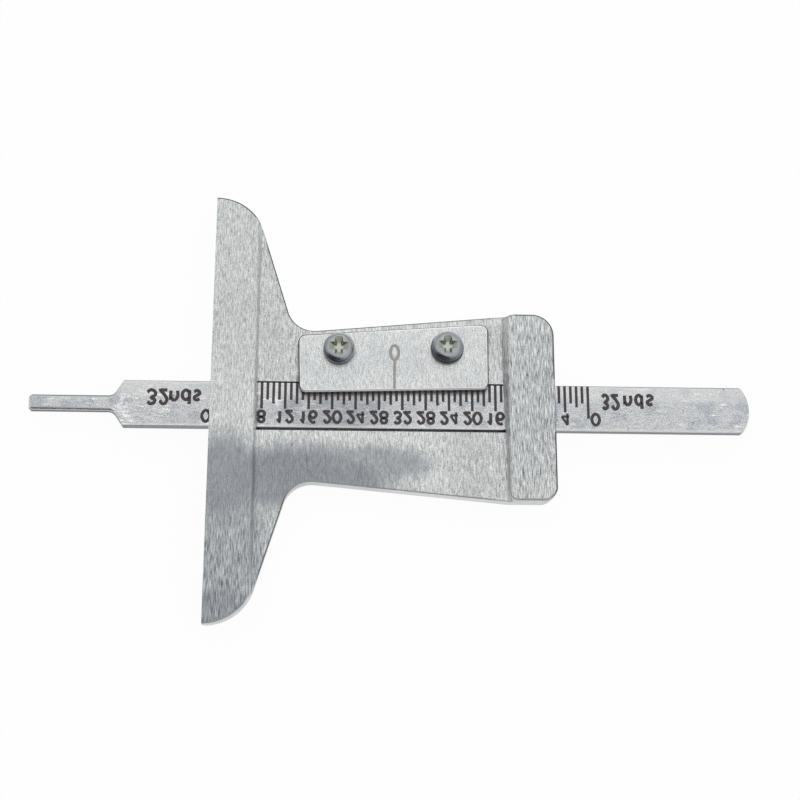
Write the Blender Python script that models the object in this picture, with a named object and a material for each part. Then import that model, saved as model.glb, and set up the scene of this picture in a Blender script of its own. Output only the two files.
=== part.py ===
# Tire tread depth gauge: a T-shaped cast base in which a flat rule slides.
# The rule's front end is a narrow probe that reaches past the measuring face.
# The origin is on the flat back, under the index line, in the middle of the slot.
# The probe points to -X, the index plate lies on the +Y side, and +Z is the scale side.
# Lengths are in metres and angles in degrees.

import math

import bmesh
import bpy
from mathutils import Matrix, Vector

# Rule and probe
RULE_WIDTH = 0.0064
RULE_THICKNESS = 0.0015
RULE_EDGE_RADIUS = 0.0002
BLADE_LENGTH = 0.0853
PROBE_WIDTH = 0.0023
PROBE_LENGTH = 0.01262
PROBE_EDGE_RADIUS = 0.00069
PROBE_TIP_CHAMFER = 0.0003
PROBE_REACH = 0.02435
SHOULDER_ANGLE = 55.7
SHOULDER_FILLET = 0.0013
TAIL_RADIUS = 0.0052
TAIL_CORNER_RADIUS = 0.0006
TAIL_CHAMFER = 0.00015

# Base, in plan
MEASURING_FACE_TO_INDEX = 0.02487
BASE_CENTRE_Y = -0.00003
FLANGE_WIDTH = 0.00605
FLANGE_HALF_LENGTH = 0.02960
FLANGE_END_RADIUS = 0.0069
FLANGE_SLANT = 72.6
WAIST_HALF_WIDTH = 0.01032
WEB_HALF_WIDTH_AT_REAR = 0.01306
WAIST_FILLET = 0.0038
REAR_BAR_FROM_INDEX = 0.0155
REAR_BAR_WIDTH = 0.00633
REAR_BAR_HALF_LENGTH = 0.01305
REAR_UPPER_CORNER_RADIUS = 0.0030
REAR_LOWER_CORNER_RADIUS = 0.0019
STEP_CORNER_RADIUS = 0.0009

# Base, in section
SLOT_FLOOR_THICKNESS = 0.0016
SLOT_UPPER_CLEARANCE = 0.00005
SLOT_LOWER_CLEARANCE = 0.00037
SLOT_UNDER_CLEARANCE = 0.0001
SLOT_OVER_CLEARANCE = 0.00012
WEB_ABOVE_RULE = 0.0001
BRIDGE_THICKNESS = 0.0012
CAST_EDGE_RADIUS = 0.0003
WALL_DRAFT = 4.5
FLANGE_STEP_DRAFT = 9.0
REAR_STEP_UPPER_DRAFT = 33.0
REAR_STEP_LOWER_DRAFT = 4.0

# Index plate
PLATE_THICKNESS = 0.0010
PLATE_LOWER_LENGTH = 0.02575
PLATE_UPPER_LENGTH = 0.02608
PLATE_LEFT_HEIGHT = 0.00807
PLATE_RIGHT_HEIGHT = 0.00926
PLATE_UPPER_SHIFT = 0.00014
PLATE_CORNER_RADIUS = 0.0010
PLATE_EDGE_RADIUS = 0.00025
PLATE_OVER_RULE = 0.0013
PLATE_CENTRE_X = -0.0001
PLATE_SKEW = 1.63
SEAT_GAP = 0.00005

# Fasteners
LEFT_SCREW_INSET = 0.00541
LEFT_SCREW_RISE = 0.0056
RIGHT_SCREW_INSET = 0.00575
RIGHT_SCREW_RISE = 0.00597
HEAD_DIAMETER = 0.0042
HEAD_HEIGHT = 0.0015
HEAD_RIM_HEIGHT = 0.00055
HEAD_FLAT_DIAMETER = 0.0018
SHANK_DIAMETER = 0.0022
SHANK_LENGTH = 0.0036
SHANK_CHAMFER = 0.0003
HOLE_CLEARANCE = 0.0001
RECESS_SPAN = 0.00285
RECESS_ARM = 0.00105
RECESS_DEPTH = 0.0009
RECESS_FLOOR_SHARE = 0.45
WASHER_DIAMETER = 0.0045
WASHER_THICKNESS = 0.0005
WASHER_GAP_ANGLE = 12.0
WASHER_SPLIT_AT = 38.0

# Friction spring
SPRING_LENGTH = 0.0104
SPRING_LEAF = 0.00025
SPRING_WIDTH = 0.0040
POCKET_DEPTH = 0.0009
POCKET_CLEARANCE = 0.0003

# Smoothness of the round stretches
ROUND_STEPS = 40
ARC_STEP_ANGLE = 4.5
CORNER_STEPS = 18
RIM_STEPS = 3
SECTION_CORNER_STEPS = 6
DOME_STEPS = 8
CUTTER_OVERRUN = 0.002
MERGE_DISTANCE = 1e-6

# Levels and places that follow from the sizes above
RULE_BOTTOM = SLOT_FLOOR_THICKNESS + SLOT_UNDER_CLEARANCE
RULE_TOP = RULE_BOTTOM + RULE_THICKNESS
RULE_MID = RULE_BOTTOM + RULE_THICKNESS / 2
SLOT_TOP = RULE_TOP + SLOT_OVER_CLEARANCE
SLOT_UPPER_Y = RULE_WIDTH / 2 + SLOT_UPPER_CLEARANCE
SLOT_LOWER_Y = -RULE_WIDTH / 2 - SLOT_LOWER_CLEARANCE
WEB_TOP = RULE_TOP + WEB_ABOVE_RULE
BAR_TOP = SLOT_TOP + BRIDGE_THICKNESS
WALL_FOOT = WEB_TOP - CAST_EDGE_RADIUS
WALL_INSET = WALL_FOOT * math.tan(math.radians(WALL_DRAFT))
PLATE_BOTTOM = WEB_TOP + SEAT_GAP
PLATE_TOP = PLATE_BOTTOM + PLATE_THICKNESS
WASHER_BOTTOM = PLATE_TOP + SEAT_GAP
HEAD_BOTTOM = WASHER_BOTTOM + WASHER_THICKNESS + SEAT_GAP
HOLE_DIAMETER = SHANK_DIAMETER + 2 * HOLE_CLEARANCE
MEASURING_FACE_X = -MEASURING_FACE_TO_INDEX
STEP_X = MEASURING_FACE_X + FLANGE_WIDTH
REAR_FACE_X = REAR_BAR_FROM_INDEX + REAR_BAR_WIDTH
PROBE_TIP_X = MEASURING_FACE_X - PROBE_REACH
SHOULDER_X = PROBE_TIP_X + PROBE_LENGTH
TAIL_X = SHOULDER_X + BLADE_LENGTH
PLATE_LOWER_Y = RULE_WIDTH / 2 - PLATE_OVER_RULE
PLATE_HALF_LENGTH = (PLATE_LOWER_LENGTH + PLATE_UPPER_LENGTH) / 4
LEFT_SCREW_X = PLATE_CENTRE_X - PLATE_HALF_LENGTH + LEFT_SCREW_INSET
RIGHT_SCREW_X = PLATE_CENTRE_X + PLATE_HALF_LENGTH - RIGHT_SCREW_INSET
SCREW_PLACES = {
    "left": (LEFT_SCREW_X, PLATE_LOWER_Y + LEFT_SCREW_RISE),
    "right": (RIGHT_SCREW_X, PLATE_LOWER_Y + RIGHT_SCREW_RISE),
}


def clear_scene():
    for item in list(bpy.data.objects):
        bpy.data.objects.remove(item, do_unlink=True)


def make_material(name, colour, metallic, roughness):
    material = bpy.data.materials.new(name)
    material.use_nodes = True
    shader = material.node_tree.nodes["Principled BSDF"]
    shader.inputs["Base Color"].default_value = (*colour, 1.0)
    shader.inputs["Metallic"].default_value = metallic
    shader.inputs["Roughness"].default_value = roughness
    return material


def make_object(name, bm, material=None, place=(0.0, 0.0, 0.0)):
    bmesh.ops.remove_doubles(bm, verts=bm.verts, dist=MERGE_DISTANCE)
    bmesh.ops.recalc_face_normals(bm, faces=bm.faces)
    mesh = bpy.data.meshes.new(name)
    bm.to_mesh(mesh)
    bm.free()
    item = bpy.data.objects.new(name, mesh)
    item.location = place
    bpy.context.collection.objects.link(item)
    if material:
        mesh.materials.append(material)
    return item


def smooth(item, angle=35.0):
    item.data.shade_smooth()
    item.data.set_sharp_from_angle(angle=math.radians(angle))


def combine(target, tool, operation):
    """Join a solid to the target, or cut it away, and keep it as a hidden tool."""
    tool.hide_render = True
    tool.display_type = "WIRE"
    step = target.modifiers.new(tool.name, "BOOLEAN")
    step.operation = operation
    step.solver = "EXACT"
    step.object = tool


# Outlines are lists of (x, y) points that run anticlockwise.


def arc(centre, radius, start, end, count=None):
    count = count or max(2, math.ceil(abs(end - start) / ARC_STEP_ANGLE))
    angles = [math.radians(start + (end - start) * i / count) for i in range(count + 1)]
    return [(centre[0] + radius * math.cos(a), centre[1] + radius * math.sin(a)) for a in angles]


def fillet(before, corner, after, radius, count=None):
    """The arc that rounds a corner between its two neighbours."""
    corner = Vector(corner)
    along_in = (Vector(before) - corner).normalized()
    along_out = (Vector(after) - corner).normalized()
    opening = along_in.angle(along_out)
    centre = corner + (along_in + along_out).normalized() * radius / math.sin(opening / 2)
    reach = radius / math.tan(opening / 2)
    first = corner + along_in * reach - centre
    last = corner + along_out * reach - centre
    start = math.degrees(math.atan2(first.y, first.x))
    turn = math.degrees(math.atan2(last.y, last.x)) - start
    turn = (turn + 180.0) % 360.0 - 180.0
    return arc(centre, radius, start, start + turn, count)


def rounded(points, radii, count=None):
    """A closed outline with each corner rounded by its own radius, or left sharp at zero."""
    outline = []
    for i, point in enumerate(points):
        if radii[i] > 0:
            outline += fillet(points[i - 1], point, points[(i + 1) % len(points)], radii[i], count)
        else:
            outline.append(point)
    return outline


def mirrored_below(upper):
    """Close an outline whose upper half runs from the right to the left."""
    return upper + [(x, -y) for x, y in reversed(upper)]


def prism(outline, bottom, top):
    bm = bmesh.new()
    base = bm.faces.new([bm.verts.new((x, y, bottom)) for x, y in outline])
    raised = bmesh.ops.extrude_face_region(bm, geom=[base])
    verts = [part for part in raised["geom"] if isinstance(part, bmesh.types.BMVert)]
    bmesh.ops.translate(bm, verts=verts, vec=(0.0, 0.0, top - bottom))
    return bm


def round_rim(bm, level, radius):
    """Round the edges that lie at one level, and leave the edge of the measuring face sharp."""
    rim = []
    for edge in bm.edges:
        at_level = all(abs(v.co.z - level) < MERGE_DISTANCE for v in edge.verts)
        measuring = all(abs(v.co.x - MEASURING_FACE_X) < MERGE_DISTANCE for v in edge.verts)
        if at_level and not measuring:
            rim.append(edge)
    bmesh.ops.bevel(
        bm, geom=rim, offset=radius, segments=RIM_STEPS, profile=0.5, affect="EDGES", clamp_overlap=True
    )


def loft(rings):
    """A closed skin over rings with equal point counts, capped at both ends."""
    bm = bmesh.new()
    loops = [[bm.verts.new(point) for point in ring] for ring in rings]
    for near, far in zip(loops, loops[1:]):
        for i in range(len(near)):
            j = (i + 1) % len(near)
            bm.faces.new((near[i], near[j], far[j], far[i]))
    bm.faces.new(loops[0])
    bm.faces.new(loops[-1])
    bmesh.ops.remove_doubles(bm, verts=bm.verts, dist=MERGE_DISTANCE)
    return bm


def revolve(profile, steps=ROUND_STEPS, turn=360.0, start=0.0):
    """Turn an (r, z) profile around the Z axis."""
    bm = bmesh.new()
    direction = Vector((math.cos(math.radians(start)), math.sin(math.radians(start)), 0.0))
    verts = [bm.verts.new(direction * r + Vector((0.0, 0.0, z))) for r, z in profile]
    full = abs(turn - 360.0) < 1e-6
    if full:
        geom = verts + [bm.edges.new(pair) for pair in zip(verts, verts[1:])]
    else:
        geom = [bm.faces.new(verts)]
    bmesh.ops.spin(
        bm,
        geom=geom,
        cent=(0.0, 0.0, 0.0),
        axis=(0.0, 0.0, 1.0),
        angle=math.radians(turn),
        steps=steps,
        use_merge=full,
        use_duplicate=False,
    )
    return bm


def box_between(low, high):
    outline = [(low[0], low[1]), (high[0], low[1]), (high[0], high[1]), (low[0], high[1])]
    return prism(outline, low[2], high[2])


def cylinder(diameter, bottom, top):
    return revolve([(0.0, bottom), (diameter / 2, bottom), (diameter / 2, top), (0.0, top)])


# Base casting


def flange_end(inset=0.0):
    """Centre and radius of the round end, which starts square on the measuring face."""
    return (MEASURING_FACE_X, FLANGE_HALF_LENGTH - FLANGE_END_RADIUS), FLANGE_END_RADIUS - inset


def end_angle(x, inset):
    """The angle at which the round flange end passes a place along the base."""
    centre, radius = flange_end(inset)
    return math.degrees(math.acos((x - centre[0]) / radius))


def flange_outline(spread, inset):
    """The front bar: a straight measuring face and two round ends, cut off at the step."""
    centre, radius = flange_end(inset)
    return mirrored_below(arc(centre, radius, end_angle(STEP_X + spread[0], inset), 90.0, CORNER_STEPS))


def rear_outline(spread, inset):
    """The rear bar: round outer corners and smaller ones at the step."""
    reach = REAR_BAR_HALF_LENGTH - inset
    corners = [
        (REAR_FACE_X, -reach),
        (REAR_FACE_X, reach),
        (REAR_BAR_FROM_INDEX - spread[0], reach),
        (REAR_BAR_FROM_INDEX - spread[1], -reach),
    ]
    radii = [REAR_LOWER_CORNER_RADIUS, REAR_UPPER_CORNER_RADIUS, STEP_CORNER_RADIUS, STEP_CORNER_RADIUS]
    return rounded(corners, radii, CORNER_STEPS)


def step_spread(draft):
    """How far the foot of a step wall lies in front of its top."""
    return (BAR_TOP - WALL_FOOT) * math.tan(math.radians(draft))


def raised_bar(outline, drafts):
    """A bar with drafted side walls, whose step wall leans out from its top to its foot in the web."""
    spread = [step_spread(draft) for draft in drafts]
    levels = [
        (0.0, outline(spread, WALL_INSET)),
        (WALL_FOOT, outline(spread, 0.0)),
        (BAR_TOP, outline((0.0, 0.0), 0.0)),
    ]
    bm = loft([[(x, y, z) for x, y in points] for z, points in levels])
    round_rim(bm, BAR_TOP, CAST_EDGE_RADIUS)
    bmesh.ops.triangulate(bm, faces=bm.faces)
    return bm


def web_outline(inset):
    """The lower middle of the T, from inside the front bar to inside the rear bar."""
    slope = math.radians(FLANGE_SLANT)
    centre, radius = flange_end(inset)
    front = arc(centre, radius, 90.0 - FLANGE_SLANT, end_angle(STEP_X + step_spread(FLANGE_STEP_DRAFT), inset), 2)
    waist_y = WAIST_HALF_WIDTH - inset
    waist = (front[0][0] + (front[0][1] - waist_y) / math.tan(slope), waist_y)
    rear = (REAR_BAR_FROM_INDEX, WEB_HALF_WIDTH_AT_REAR - inset)
    inside_front = (STEP_X - FLANGE_WIDTH / 4, FLANGE_HALF_LENGTH - FLANGE_END_RADIUS)
    inside_rear = (REAR_BAR_FROM_INDEX + REAR_BAR_WIDTH / 4, rear[1])
    upper = [inside_rear, rear]
    upper += fillet(rear, waist, front[0], WAIST_FILLET + inset, CORNER_STEPS)
    upper += front + [inside_front]
    return mirrored_below(upper)


def web_body():
    levels = [(0.0, WALL_INSET), (WALL_FOOT, 0.0), (WEB_TOP, 0.0)]
    bm = loft([[(x, y, z) for x, y in web_outline(inset)] for z, inset in levels])
    round_rim(bm, WEB_TOP, CAST_EDGE_RADIUS)
    bmesh.ops.triangulate(bm, faces=bm.faces)
    return bm


def make_base(material):
    place = (0.0, BASE_CENTRE_Y, 0.0)
    flange = raised_bar(flange_outline, (FLANGE_STEP_DRAFT, FLANGE_STEP_DRAFT))
    base = make_object("base_frame", flange, material, place)
    combine(base, make_object("web_body", web_body(), None, place), "UNION")
    rear_bar = raised_bar(rear_outline, (REAR_STEP_UPPER_DRAFT, REAR_STEP_LOWER_DRAFT))
    combine(base, make_object("rear_bar_body", rear_bar, None, place), "UNION")

    slot = box_between(
        (MEASURING_FACE_X - CUTTER_OVERRUN, SLOT_LOWER_Y, SLOT_FLOOR_THICKNESS),
        (REAR_FACE_X + CUTTER_OVERRUN, SLOT_UPPER_Y, SLOT_TOP),
    )
    combine(base, make_object("slot_cutter", slot), "DIFFERENCE")

    pocket_x = SPRING_LENGTH / 2 + POCKET_CLEARANCE
    pocket_y = SPRING_WIDTH / 2 + POCKET_CLEARANCE
    pocket = box_between(
        (-pocket_x, -pocket_y, SLOT_FLOOR_THICKNESS - POCKET_DEPTH),
        (pocket_x, pocket_y, RULE_MID),
    )
    combine(base, make_object("spring_pocket_cutter", pocket), "DIFFERENCE")

    hole_bottom = HEAD_BOTTOM - SHANK_LENGTH - HOLE_CLEARANCE
    for side, (x, y) in SCREW_PLACES.items():
        hole = cylinder(HOLE_DIAMETER, hole_bottom, BAR_TOP)
        combine(base, make_object(side + "_hole_cutter", hole, None, (x, y, 0.0)), "DIFFERENCE")
    smooth(base)


# Rule with probe


def rule_section(x, half_width, half_thickness, radius):
    """A rounded rectangle across the rule at one place along it."""
    points = []
    corners = [
        (half_width - radius, half_thickness - radius, 0.0),
        (radius - half_width, half_thickness - radius, 90.0),
        (radius - half_width, radius - half_thickness, 180.0),
        (half_width - radius, radius - half_thickness, 270.0),
    ]
    for y, z, start in corners:
        for i in range(SECTION_CORNER_STEPS + 1):
            turn = math.radians(start + 90.0 * i / SECTION_CORNER_STEPS)
            points.append((x, y + radius * math.cos(turn), z + radius * math.sin(turn)))
    return points


def shoulder_stations():
    """Places and half widths from the probe, round the fillet and up the slanted shoulder."""
    slope = math.radians(SHOULDER_ANGLE)
    blade_half = RULE_WIDTH / 2
    probe_half = PROBE_WIDTH / 2
    corner = (SHOULDER_X - (blade_half - probe_half) / math.tan(slope), probe_half)
    return fillet((PROBE_TIP_X, probe_half), corner, (SHOULDER_X, blade_half), SHOULDER_FILLET)


def tail_outline(inset):
    """The rounded tail end, moved inwards by an inset, with straight runs to outside the rule."""
    centre_x = TAIL_X - TAIL_RADIUS
    corner_y = RULE_WIDTH / 2 - TAIL_CORNER_RADIUS
    corner_x = centre_x + math.sqrt((TAIL_RADIUS - TAIL_CORNER_RADIUS) ** 2 - corner_y ** 2)
    lean = math.degrees(math.atan2(corner_y, corner_x - centre_x))
    upper_corner = arc((corner_x, corner_y), TAIL_CORNER_RADIUS - inset, 90.0, lean)
    end = arc((centre_x, 0.0), TAIL_RADIUS - inset, lean, -lean)
    lower_corner = [(x, -y) for x, y in reversed(upper_corner)]
    return upper_corner + end[1:-1] + lower_corner


def tail_cutter():
    """Everything past the tail curve, flared at the top and the bottom to break the edges."""
    rings = []
    far_x = TAIL_X + CUTTER_OVERRUN
    far_y = RULE_WIDTH / 2 + CUTTER_OVERRUN
    half = RULE_THICKNESS / 2
    levels = [
        (-half - TAIL_CHAMFER, 2 * TAIL_CHAMFER),
        (-half + TAIL_CHAMFER, 0.0),
        (half - TAIL_CHAMFER, 0.0),
        (half + TAIL_CHAMFER, 2 * TAIL_CHAMFER),
    ]
    for z, inset in levels:
        curve = tail_outline(inset)
        outline = [(curve[0][0], far_y)] + curve + [(curve[-1][0], -far_y), (far_x, -far_y), (far_x, far_y)]
        rings.append([(x, y, z) for x, y in outline])
    return loft(rings)


def make_rule(material):
    blade_half = RULE_WIDTH / 2
    probe_half = PROBE_WIDTH / 2
    half = RULE_THICKNESS / 2
    chamfer = PROBE_TIP_CHAMFER
    rings = [
        rule_section(PROBE_TIP_X, probe_half - chamfer, half - chamfer, PROBE_EDGE_RADIUS - chamfer),
        rule_section(PROBE_TIP_X + chamfer, probe_half, half, PROBE_EDGE_RADIUS),
    ]
    for x, width in shoulder_stations() + [(SHOULDER_X, blade_half)]:
        share = (width - probe_half) / (blade_half - probe_half)
        radius = PROBE_EDGE_RADIUS + (RULE_EDGE_RADIUS - PROBE_EDGE_RADIUS) * share
        rings.append(rule_section(x, width, half, radius))
    rings.append(rule_section(TAIL_X + CUTTER_OVERRUN / 2, blade_half, half, RULE_EDGE_RADIUS))
    rule = make_object("slide_rule", loft(rings), material, (0.0, 0.0, RULE_MID))
    cutter = make_object("tail_cutter", tail_cutter(), None, (0.0, 0.0, RULE_MID))
    combine(rule, cutter, "DIFFERENCE")
    smooth(rule)


# Index plate


def make_plate(material):
    corners = [
        (-PLATE_LOWER_LENGTH / 2, 0.0),
        (PLATE_LOWER_LENGTH / 2, 0.0),
        (PLATE_UPPER_SHIFT + PLATE_UPPER_LENGTH / 2, PLATE_RIGHT_HEIGHT),
        (PLATE_UPPER_SHIFT - PLATE_UPPER_LENGTH / 2, PLATE_LEFT_HEIGHT),
    ]
    bm = prism(rounded(corners, [PLATE_CORNER_RADIUS] * 4), 0.0, PLATE_THICKNESS)
    round_rim(bm, PLATE_THICKNESS, PLATE_EDGE_RADIUS)
    plate = make_object("index_plate", bm, material, (PLATE_CENTRE_X, PLATE_LOWER_Y, PLATE_BOTTOM))
    plate.rotation_euler.z = math.radians(PLATE_SKEW)
    for side, (x, y) in SCREW_PLACES.items():
        hole = cylinder(HOLE_DIAMETER, WEB_TOP - CUTTER_OVERRUN, PLATE_TOP + CUTTER_OVERRUN)
        combine(plate, make_object(side + "_plate_hole_cutter", hole, None, (x, y, 0.0)), "DIFFERENCE")
    smooth(plate)


# Screws and split washers


def cross_outline(span, arm):
    reach = span / 2
    half = arm / 2
    quarter = [(reach, -half), (reach, half), (half, half)]
    outline = []
    for turn in range(4):
        angle = math.radians(90.0 * turn)
        for x, y in quarter:
            outline.append((x * math.cos(angle) - y * math.sin(angle), x * math.sin(angle) + y * math.cos(angle)))
    return outline


def recess_cutter():
    """A cross that narrows towards its floor."""
    above = HEAD_HEIGHT + CUTTER_OVERRUN / 4
    floor = HEAD_HEIGHT - RECESS_DEPTH
    widen = 1.0 + (1.0 - RECESS_FLOOR_SHARE) * (above - HEAD_HEIGHT) / RECESS_DEPTH
    low = cross_outline(RECESS_SPAN * RECESS_FLOOR_SHARE, RECESS_ARM * RECESS_FLOOR_SHARE)
    high = cross_outline(RECESS_SPAN * widen, RECESS_ARM * widen)
    return loft([[(x, y, floor) for x, y in low], [(x, y, above) for x, y in high]])


def screw_profile():
    """Half of the screw's section: tip, shank, underside of the head, rim and low dome."""
    shank = SHANK_DIAMETER / 2
    head = HEAD_DIAMETER / 2
    flat = HEAD_FLAT_DIAMETER / 2
    profile = [(0.0, -SHANK_LENGTH), (shank - SHANK_CHAMFER, -SHANK_LENGTH)]
    profile += [(shank, -SHANK_LENGTH + SHANK_CHAMFER), (shank, 0.0), (head, 0.0)]
    for i in range(DOME_STEPS + 1):
        turn = math.radians(90.0 * i / DOME_STEPS)
        r = flat + (head - flat) * math.cos(turn)
        profile.append((r, HEAD_RIM_HEIGHT + (HEAD_HEIGHT - HEAD_RIM_HEIGHT) * math.sin(turn)))
    profile.append((0.0, HEAD_HEIGHT))
    return profile


def washer_profile():
    inner = HOLE_DIAMETER / 2
    outer = WASHER_DIAMETER / 2
    return [(inner, 0.0), (outer, 0.0), (outer, WASHER_THICKNESS), (inner, WASHER_THICKNESS)]


def make_fasteners(screw_material, washer_material):
    for side, (x, y) in SCREW_PLACES.items():
        screw = make_object("plate_screw_" + side, revolve(screw_profile()), screw_material, (x, y, HEAD_BOTTOM))
        cutter = make_object(side + "_recess_cutter", recess_cutter(), None, (x, y, HEAD_BOTTOM))
        combine(screw, cutter, "DIFFERENCE")
        smooth(screw)
        ring = revolve(washer_profile(), ROUND_STEPS, 360.0 - WASHER_GAP_ANGLE, WASHER_SPLIT_AT)
        smooth(make_object("spring_washer_" + side, ring, washer_material, (x, y, WASHER_BOTTOM)))


# Friction spring


def make_spring(material):
    """A bowed leaf: its ends bear on the pocket floor, and its middle on the rule's underside."""
    low = SLOT_FLOOR_THICKNESS - POCKET_DEPTH + SEAT_GAP + SPRING_LEAF / 2
    high = RULE_BOTTOM - SEAT_GAP - SPRING_LEAF / 2
    rise = high - low
    radius = ((SPRING_LENGTH / 2) ** 2 + rise ** 2) / (2 * rise)
    reach = math.degrees(math.asin(SPRING_LENGTH / 2 / radius))
    centre = (0.0, high - radius)
    outer = arc(centre, radius + SPRING_LEAF / 2, 90.0 - reach, 90.0 + reach)
    inner = arc(centre, radius - SPRING_LEAF / 2, 90.0 + reach, 90.0 - reach)
    leaf = prism(outer + inner, -SPRING_WIDTH / 2, SPRING_WIDTH / 2)
    bmesh.ops.rotate(leaf, verts=leaf.verts, matrix=Matrix.Rotation(math.radians(90.0), 3, "X"))
    smooth(make_object("friction_spring", leaf, material))


def build():
    clear_scene()
    cast_aluminium = make_material("cast_aluminium", (0.56, 0.57, 0.58), 1.0, 0.42)
    rolled_aluminium = make_material("rolled_aluminium", (0.60, 0.61, 0.61), 1.0, 0.36)
    plate_aluminium = make_material("plate_aluminium", (0.60, 0.60, 0.60), 1.0, 0.40)
    zinc_steel = make_material("zinc_steel", (0.40, 0.42, 0.46), 1.0, 0.30)
    dark_steel = make_material("dark_steel", (0.25, 0.26, 0.28), 1.0, 0.38)
    spring_steel = make_material("spring_steel", (0.35, 0.36, 0.38), 1.0, 0.35)
    make_base(cast_aluminium)
    make_rule(rolled_aluminium)
    make_plate(plate_aluminium)
    make_fasteners(zinc_steel, dark_steel)
    make_spring(spring_steel)


build()
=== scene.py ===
import math

import bmesh
import bpy
from mathutils import Matrix, Vector


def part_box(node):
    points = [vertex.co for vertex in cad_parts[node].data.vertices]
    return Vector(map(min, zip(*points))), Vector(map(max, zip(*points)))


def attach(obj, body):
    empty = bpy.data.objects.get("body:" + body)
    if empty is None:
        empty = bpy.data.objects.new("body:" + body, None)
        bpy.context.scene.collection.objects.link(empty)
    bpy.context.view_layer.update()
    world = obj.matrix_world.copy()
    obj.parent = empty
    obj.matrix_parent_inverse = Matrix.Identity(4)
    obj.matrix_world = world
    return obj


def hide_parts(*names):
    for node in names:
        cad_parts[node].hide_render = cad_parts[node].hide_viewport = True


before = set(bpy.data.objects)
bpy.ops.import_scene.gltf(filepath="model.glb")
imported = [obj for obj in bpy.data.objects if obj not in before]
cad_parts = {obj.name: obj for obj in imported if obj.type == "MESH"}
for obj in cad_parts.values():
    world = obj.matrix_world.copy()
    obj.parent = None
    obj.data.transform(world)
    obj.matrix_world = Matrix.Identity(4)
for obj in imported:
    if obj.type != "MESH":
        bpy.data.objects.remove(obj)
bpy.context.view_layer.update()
mm = 0.001
softEnds = {"interpolation_type": "SMOOTHSTEP"}  # a Map Range node that eases in and out
twoColours = {"data_type": "RGBA"}  # a Mix node for colours
print("frame loaded:", ", ".join(sorted(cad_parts)))


# Small helpers


def linearColour(code):  # an sRGB hex value as the linear colour that a shader takes
    shares = [int(code[i:i + 2], 16) / 255 for i in (1, 3, 5)]
    return [s / 12.92 if s <= 0.04045 else ((s + 0.055) / 1.055) ** 2.4 for s in shares] + [1.0]


def addNode(tree, kind, inputs=None, **settings):  # a socket takes a value, an output, or another node's result
    node = tree.nodes.new("ShaderNode" + kind)
    for name, value in settings.items():
        setattr(node, name, value)
    for socket, value in (inputs or {}).items():  # a colour Mix node has its share at 0, its colours at 6 and 7
        if isinstance(value, bpy.types.Node):
            value = next(output for output in value.outputs if output.enabled)
        if isinstance(value, bpy.types.NodeSocket):
            tree.links.new(value, node.inputs[socket])
        else:
            node.inputs[socket].default_value = value
    return node


def startMaterial(name):  # an empty material and its coordinates
    material = bpy.data.materials.new(name)
    material.use_nodes = True
    tree = material.node_tree
    tree.nodes.clear()
    return material, tree, addNode(tree, "TexCoord")


def closeMaterial(tree, inputs):  # the shader with all that reaches it, and the output
    shader = addNode(tree, "BsdfPrincipled", inputs)
    addNode(tree, "OutputMaterial", {"Surface": shader})


def finishPiece(name, bm, body, material, nodes=(), smoothAngle=35.0):
    mesh = bpy.data.meshes.new(name)
    bm.to_mesh(mesh)
    bm.free()
    piece = bpy.data.objects.new(name, mesh)
    bpy.context.scene.collection.objects.link(piece)
    mesh.materials.append(material)
    mesh.shade_smooth()
    mesh.set_sharp_from_angle(angle=math.radians(smoothAngle))
    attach(piece, body)
    if nodes:
        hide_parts(*nodes)
    return piece


def mergedCopy(node):  # the CAD node's loose triangles, joined into clean faces
    bm = bmesh.new()
    bm.from_mesh(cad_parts[node].data)
    bmesh.ops.remove_doubles(bm, verts=bm.verts, dist=0.001 * mm)
    bmesh.ops.dissolve_limit(bm, angle_limit=math.radians(0.4), verts=bm.verts, edges=bm.edges)
    bmesh.ops.recalc_face_normals(bm, faces=bm.faces)
    return bm


def breakEdges(piece, width, segments=2, angle=40.0):  # a fine radius on every sharp edge
    rounding = piece.modifiers.new("brokenEdges", "BEVEL")
    rounding.width = width
    rounding.segments = segments
    rounding.limit_method = "ANGLE"
    rounding.angle_limit = math.radians(angle)
    rounding.use_clamp_overlap = True
    rounding.harden_normals = True


# Patterns that the metals share


def brokenMarks(tree, place, across, along=None, turned=0.0, detail=2.0):  # in mm; even specks without a length
    laid = addNode(tree, "Mapping", {
        "Vector": place.outputs["Object"],
        "Rotation": (0.0, 0.0, math.radians(turned)),
        "Scale": (across * mm, (along or across) * mm, across * mm),
    }, vector_type="TEXTURE")
    noise = addNode(tree, "TexNoise", {"Vector": laid, "Scale": 1.0, "Detail": detail, "Roughness": 0.6})
    return noise.outputs["Fac"]


def weighedSum(tree, patterns, weights, start=1.0):  # start plus the sum of (pattern - 0.5) * weight
    total = start - sum(weights) / 2
    for pattern, weight in zip(patterns, weights):
        total = addNode(tree, "Math", {0: pattern, 1: weight, 2: total}, operation="MULTIPLY_ADD")
    return total


def softSpot(tree, spread, centre, reach, solid=0.45):  # 1 over the middle of an oval, 0 at its edge, in mm
    laid = addNode(tree, "Mapping", {
        "Vector": spread,
        "Location": (centre[0] * mm, centre[1] * mm, 0.0),
        "Scale": (reach[0] * mm, reach[1] * mm, 1e6),
    }, vector_type="TEXTURE")
    oval = addNode(tree, "TexGradient", {"Vector": laid}, gradient_type="SPHERICAL")
    return addNode(tree, "MapRange", {"Value": oval.outputs["Fac"], "From Max": 1.0 - solid}, **softEnds)


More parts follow.
